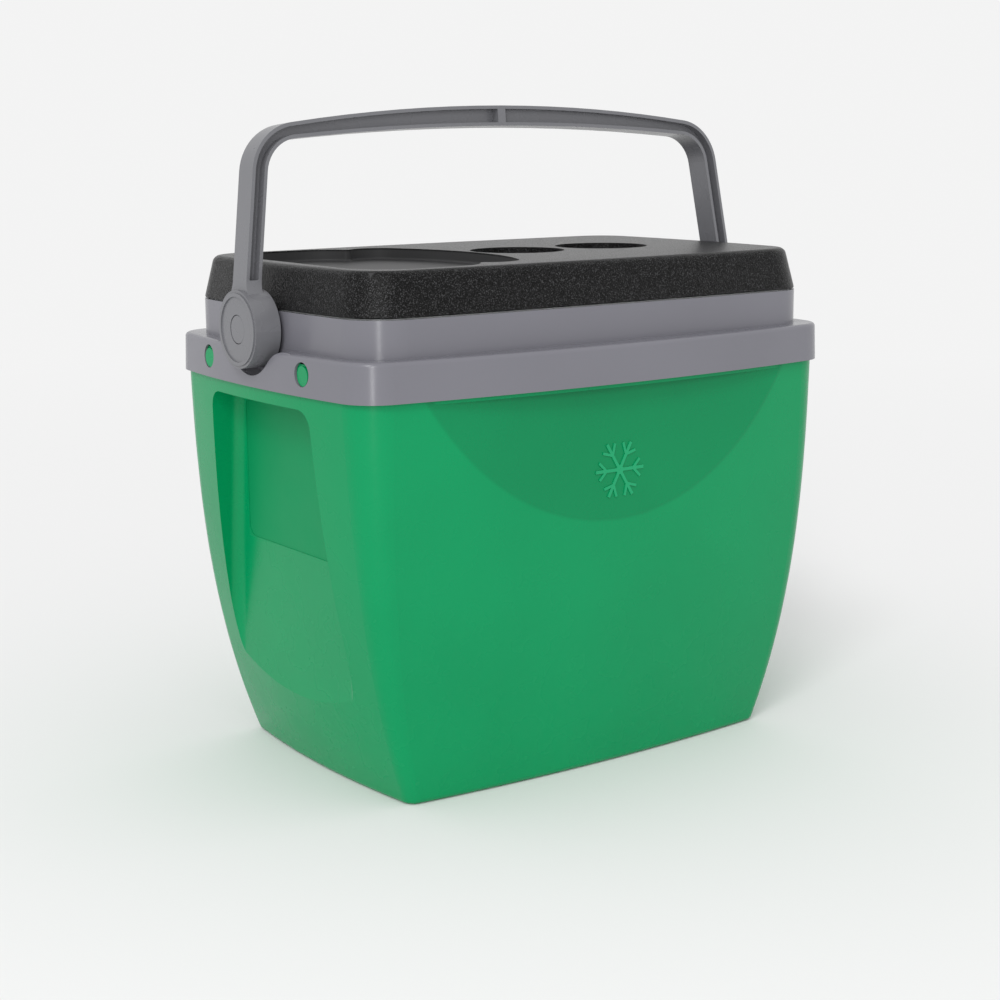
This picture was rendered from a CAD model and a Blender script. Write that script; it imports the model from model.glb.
import math

import bpy
from mathutils import Matrix, Vector

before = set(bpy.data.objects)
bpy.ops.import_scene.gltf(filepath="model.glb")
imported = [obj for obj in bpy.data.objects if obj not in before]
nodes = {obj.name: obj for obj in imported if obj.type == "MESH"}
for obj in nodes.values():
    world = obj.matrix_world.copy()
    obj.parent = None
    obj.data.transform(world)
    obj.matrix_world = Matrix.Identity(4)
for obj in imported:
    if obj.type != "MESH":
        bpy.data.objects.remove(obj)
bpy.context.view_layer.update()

# ---- Outer tub ---------------------------------------------------------------------------------
# One injection moulding in green polypropylene with a satin face. Its front is sliced flat under
# the rim, a shade deeper than the rest, and each end has a hand recess with a matt grip patch.
tub_green = (0.0, 0.272, 0.094)
tub_roughness = 0.27
tub_shine = 0.2
slice_shade = 0.84
slice_foot = 0.15196
slice_lean = 0.05
slice_edge = (0.0001, 0.0004)
patch_shade = 0.93
patch_matting = 0.25
patch_floor = 0.191
patch_half_width = 0.065
patch_foot, patch_top = 0.170, 0.276
patch_edge = 0.0012

flow_spots_per_metre = 8.0
flow_span = (0.35, 0.65)
flow_shade = 0.94
wear_spots_per_metre = 40.0
wear_span = (0.3, 0.7)
wear_swing = 0.03
skin_spots_per_metre = 1500.0
skin_strength = 0.04
skin_depth = 0.0001


def blank_finish(name):
    """New material with one plain shader, its node tree and that shader."""
    finish = bpy.data.materials.new(name)
    finish.use_nodes = True
    tree = finish.node_tree
    return finish, tree, tree.nodes["Principled BSDF"]


def plug(tree, value, socket):
    """Feeds a socket with a node value, a plain number or a colour."""
    if isinstance(value, bpy.types.NodeSocket):
        tree.links.new(value, socket)
    elif isinstance(value, tuple):
        socket.default_value = (*value, 1)
    else:
        socket.default_value = value


def place_on_piece(tree):
    """The place on the piece, in metres from the middle of the base."""
    return tree.nodes.new("ShaderNodeTexCoord").outputs["Object"]


def split_place(tree):
    """The three axes of the place on the piece."""
    axes = tree.nodes.new("ShaderNodeSeparateXYZ")
    tree.links.new(place_on_piece(tree), axes.inputs[0])
    return axes.outputs


def grain(tree, spots_per_metre, detail=2.0):
    """Cloudy value from 0 to 1 with spots of one size."""
    cloud = tree.nodes.new("ShaderNodeTexNoise")
    cloud.inputs["Scale"].default_value = spots_per_metre
    cloud.inputs["Detail"].default_value = detail
    tree.links.new(place_on_piece(tree), cloud.inputs["Vector"])
    return cloud.outputs["Fac"]


def between(tree, value, start, end, low=0.0, high=1.0):
    """Value stretched from start..end to low..high and held there at both ends."""
    stretch = tree.nodes.new("ShaderNodeMapRange")
    stretch.inputs["From Min"].default_value = start
    stretch.inputs["From Max"].default_value = end
    stretch.inputs["To Min"].default_value = low
    stretch.inputs["To Max"].default_value = high
    tree.links.new(value, stretch.inputs["Value"])
    return stretch.outputs["Result"]


def sum_up(tree, how, first, second):
    """One step of arithmetic on node values or plain numbers."""
    step = tree.nodes.new("ShaderNodeMath")
    step.operation = how
    plug(tree, first, step.inputs[0])
    plug(tree, second, step.inputs[1])
    return step.outputs[0]


def inside_block(tree, middle, half_size, soft):
    """1 inside a block of space and 0 outside it, fading over a soft edge."""
    whole = 1.0
    for axis, centre, half in zip(split_place(tree), middle, half_size):
        away = sum_up(tree, "ABSOLUTE", sum_up(tree, "SUBTRACT", axis, centre), 0.0)
        whole = sum_up(tree, "MULTIPLY", between(tree, away, half, half + soft, 1.0, 0.0), whole)
    return whole


def blend_colours(tree, first, second, amount, how="MIX"):
    """First colour that goes to the second, or to their product, as amount goes from 0 to 1."""
    blend = tree.nodes.new("ShaderNodeMix")
    blend.data_type = "RGBA"
    blend.blend_type = how
    plug(tree, amount, blend.inputs[0])
    plug(tree, first, blend.inputs[6])
    plug(tree, second, blend.inputs[7])
    return blend.outputs[2]


def shade_by(tree, colour, shade, amount):
    """Colour that goes to a shade of itself as amount goes from 0 to 1."""
    return blend_colours(tree, colour, (shade, shade, shade), amount, "MULTIPLY")


def raise_skin(tree, shader, height, strength, depth):
    """Fine relief of the moulded skin, depth in metres."""
    relief = tree.nodes.new("ShaderNodeBump")
    relief.inputs["Strength"].default_value = strength
    relief.inputs["Distance"].default_value = depth
    tree.links.new(height, relief.inputs["Height"])
    tree.links.new(relief.outputs["Normal"], shader.inputs["Normal"])


def satin_plastic(name, colour, roughness, shine=0.3):
    """Moulded plastic: faint flow shading, slightly uneven gloss and a hair-fine skin."""
    finish, tree, shader = blank_finish(name)
    clouds = between(tree, grain(tree, flow_spots_per_metre, 3.0), *flow_span)
    flow = shade_by(tree, colour, flow_shade, clouds)
    tree.links.new(flow, shader.inputs["Base Color"])
    smoothest, roughest = roughness - wear_swing, roughness + wear_swing
    worn = between(tree, grain(tree, wear_spots_per_metre), *wear_span, smoothest, roughest)
    tree.links.new(worn, shader.inputs["Roughness"])
    raise_skin(tree, shader, grain(tree, skin_spots_per_metre), skin_strength, skin_depth)
    shader.inputs["Specular IOR Level"].default_value = shine
    return finish, tree, shader, flow, worn


def give(name, finish):
    """Puts a finish on a piece of the frame."""
    nodes[name].data.materials.clear()
    nodes[name].data.materials.append(finish)


green, tree, shader, flow, worn = satin_plastic(
    "green_tub_plastic", tub_green, tub_roughness, tub_shine
)
_, depth_axis, height_axis = split_place(tree)
lean_back = sum_up(tree, "MULTIPLY", height_axis, slice_lean)
off_slice = sum_up(tree, "SUBTRACT", sum_up(tree, "ADD", depth_axis, slice_foot), lean_back)
on_slice = between(tree, sum_up(tree, "ABSOLUTE", off_slice, 0.0), *slice_edge, 1.0, 0.0)
on_patch = inside_block(
    tree,
    (0.0, 0.0, (patch_foot + patch_top) / 2),
    (patch_floor, patch_half_width, (patch_top - patch_foot) / 2),
    patch_edge,
)
toned = shade_by(tree, shade_by(tree, flow, slice_shade, on_slice), patch_shade, on_patch)
tree.links.new(toned, shader.inputs["Base Color"])
matted = sum_up(tree, "ADD", worn, sum_up(tree, "MULTIPLY", on_patch, patch_matting))
tree.links.new(matted, shader.inputs["Roughness"])
give("outer_shell", green)

# ---- Emblem ------------------------------------------------------------------------------------
# A small raised snowflake moulded on the sliced front, a touch paler where the light catches its
# thin edges.
emblem_green = (0.006, 0.32, 0.128)
emblem_roughness = 0.3
give("front_emblem", satin_plastic("emblem_plastic", emblem_green, emblem_roughness)[0])

# ---- Foam fillings -----------------------------------------------------------------------------
# Cream insulating foam, blown into the double wall of the tub and into the hollow lid. It is shut
# in on all sides, with a matt, open-celled look.
foam_cream = (0.78, 0.74, 0.60)
cells_per_metre = 420.0
cell_span = (0.4, 0.6)
cell_shade = 0.8
cell_strength = 0.6
cell_depth = 0.0008
foam_roughness = 0.95
foam_shine = 0.1

foam, tree, shader = blank_finish("insulating_foam")
cells = grain(tree, cells_per_metre, 4.0)
tinted = shade_by(tree, foam_cream, cell_shade, between(tree, cells, *cell_span))
tree.links.new(tinted, shader.inputs["Base Color"])
shader.inputs["Roughness"].default_value = foam_roughness
shader.inputs["Specular IOR Level"].default_value = foam_shine
raise_skin(tree, shader, cells, cell_strength, cell_depth)
for name in ("body_foam", "lid_foam"):
    give(name, foam)

# ---- Inner tub and lid panel -------------------------------------------------------------------
# White food-safe polypropylene mouldings: the tub that hangs in the rim by its flange, and the
# underside of the lid with the plug that closes the mouth.
liner_white = (0.66, 0.68, 0.68)
liner_roughness = 0.28
liner_shine = 0.4
white = satin_plastic("white_liner_plastic", liner_white, liner_roughness, liner_shine)[0]
for name in ("inner_liner", "lid_panel"):
    give(name, white)

# ---- Rim, pins and bail ------------------------------------------------------------------------
# Grey polypropylene with a soft sheen: the two-step rim, the pins that the bail turns on, and the
# bail itself, an I-section bar with a groove in its front and back.
rim_grey = (0.168, 0.166, 0.190)
bail_grey = (0.160, 0.161, 0.174)
rim_roughness = 0.24
bail_roughness = 0.28
grey_shine = 0.45
rim_finish = satin_plastic("grey_rim_plastic", rim_grey, rim_roughness, grey_shine)[0]
bail_finish = satin_plastic("grey_bail_plastic", bail_grey, bail_roughness, grey_shine)[0]
give("rim_band", rim_finish)
for name in ("pivot_pin_left", "pivot_pin_right", "handle_bail"):
    give(name, bail_finish)

# ---- Lid cover ---------------------------------------------------------------------------------
# Black moulding with a pebble grain, whose rounded tops glint; the floor of the tray and its walls
# are left smooth.
lid_black = (0.001, 0.001, 0.001)
pebble_glint = (0.05, 0.05, 0.052)
tray_sheen = (0.042, 0.042, 0.043)
lid_roughness = 0.30
tray_roughness = 0.46
lid_shine = 0.15
pebbles_per_metre = 1150.0
pebble_reach = 0.7
pebble_strength = 0.7
pebble_depth = 0.0004
glint_span = (0.52, 0.70)
tray_middle = (-0.108, 0.0, 0.3665)
tray_half_size = (0.081, 0.1115, 0.0100)
tray_edge = 0.0008
tray_grain = 0.06

black, tree, shader = blank_finish("black_lid_plastic")
pebbles = tree.nodes.new("ShaderNodeTexVoronoi")
pebbles.feature = "SMOOTH_F1"
pebbles.inputs["Scale"].default_value = pebbles_per_metre
tree.links.new(place_on_piece(tree), pebbles.inputs["Vector"])
domes = between(tree, pebbles.outputs["Distance"], 0.0, pebble_reach, 1.0, 0.0)
in_tray = inside_block(tree, tray_middle, tray_half_size, tray_edge)
grained = between(tree, in_tray, 0.0, 1.0, 1.0, tray_grain)
glints = between(tree, grain(tree, pebbles_per_metre, 1.0), *glint_span)
speck = sum_up(tree, "MULTIPLY", glints, grained)
speckled = blend_colours(tree, lid_black, pebble_glint, speck)
tree.links.new(
    blend_colours(tree, speckled, tray_sheen, in_tray), shader.inputs["Base Color"]
)
tree.links.new(
    between(tree, in_tray, 0.0, 1.0, lid_roughness, tray_roughness), shader.inputs["Roughness"]
)
relief = sum_up(tree, "MULTIPLY", domes, grained)
raise_skin(tree, shader, relief, pebble_strength, pebble_depth)
shader.inputs["Specular IOR Level"].default_value = lid_shine
give("lid_cover", black)

# ---- Floor, light and camera -------------------------------------------------------------------
# A wide pale floor that runs out into a pale studio, one broad high light from the left and a tall
# strip that draws the highlight down the near corner.
studio_white = 0.9
floor_white = 0.80
floor_roughness = 0.9
floor_reach = 30.0
glow_span = (0.5, 2.5)

floor_mesh = bpy.data.meshes.new("studio_floor")
floor_signs = ((-1, -1), (1, -1), (1, 1), (-1, 1))
corners = [(x * floor_reach, y * floor_reach, 0) for x, y in floor_signs]
floor_mesh.from_pydata(corners, [], [(0, 1, 2, 3)])
floor = bpy.data.objects.new("studio_floor", floor_mesh)
bpy.context.scene.collection.objects.link(floor)
floor_finish, tree, shader = blank_finish("pale_floor")
plug(tree, (floor_white, floor_white, floor_white), shader.inputs["Base Color"])
shader.inputs["Roughness"].default_value = floor_roughness
shader.inputs["Specular IOR Level"].default_value = 0.0
far_glow = tree.nodes.new("ShaderNodeEmission")
far_glow.inputs["Strength"].default_value = studio_white
distance = tree.nodes.new("ShaderNodeVectorMath")
distance.operation = "LENGTH"
tree.links.new(place_on_piece(tree), distance.inputs[0])
run_out = tree.nodes.new("ShaderNodeMixShader")
tree.links.new(between(tree, distance.outputs["Value"], *glow_span), run_out.inputs[0])
tree.links.new(shader.outputs[0], run_out.inputs[1])
tree.links.new(far_glow.outputs[0], run_out.inputs[2])
tree.links.new(run_out.outputs[0], tree.nodes["Material Output"].inputs["Surface"])
floor_mesh.materials.append(floor_finish)

world = bpy.data.worlds.new("pale_studio")
bpy.context.scene.world = world
world.use_nodes = True
sky = world.node_tree.nodes["Background"]
sky.inputs["Color"].default_value = (1, 1, 1, 1)
sky.inputs["Strength"].default_value = studio_white

lamps_face = Vector((0, 0, 0.22))
sun_place, sun_power, sun_width = (-2.2, -1.6, 2.8), 0.8, math.radians(16)
strip_place, strip_power = (-1.55, -1.75, 0.75), 14.0
strip_width, strip_height = 0.22, 1.4


def light_from(name, kind, place, power):
    """Lamp at a place, turned to the body of the box."""
    lamp = bpy.data.lights.new(name, kind)
    lamp.energy = power
    holder = bpy.data.objects.new(name, lamp)
    bpy.context.scene.collection.objects.link(holder)
    holder.location = place
    holder.rotation_euler = (lamps_face - Vector(place)).to_track_quat("-Z", "Y").to_euler()
    return lamp


high_light = light_from("high_light", "SUN", sun_place, sun_power)
high_light.angle = sun_width
corner_strip = light_from("corner_strip", "AREA", strip_place, strip_power)
corner_strip.shape = "RECTANGLE"
corner_strip.size = strip_width
corner_strip.size_y = strip_height

view_yaw = math.radians(-35.67)
view_down = math.radians(11.35)
view_roll = math.radians(-0.39)
camera_place = Vector((-0.836, -1.159, 0.470))
film_width, focal_length, sideways_shift = 36, 66.7, -0.0013
lens = bpy.data.cameras.new("camera")
lens.sensor_width = film_width
lens.lens = focal_length
lens.shift_x = sideways_shift
camera = bpy.data.objects.new("camera", lens)
bpy.context.scene.collection.objects.link(camera)
camera.matrix_world = (
    Matrix.Translation(camera_place)
    @ Matrix.Rotation(view_yaw, 4, "Z")
    @ Matrix.Rotation(math.pi / 2 - view_down, 4, "X")
    @ Matrix.Rotation(view_roll, 4, "Z")
)
bpy.context.scene.camera = camera
bpy.context.scene.view_settings.view_transform = "Standard"
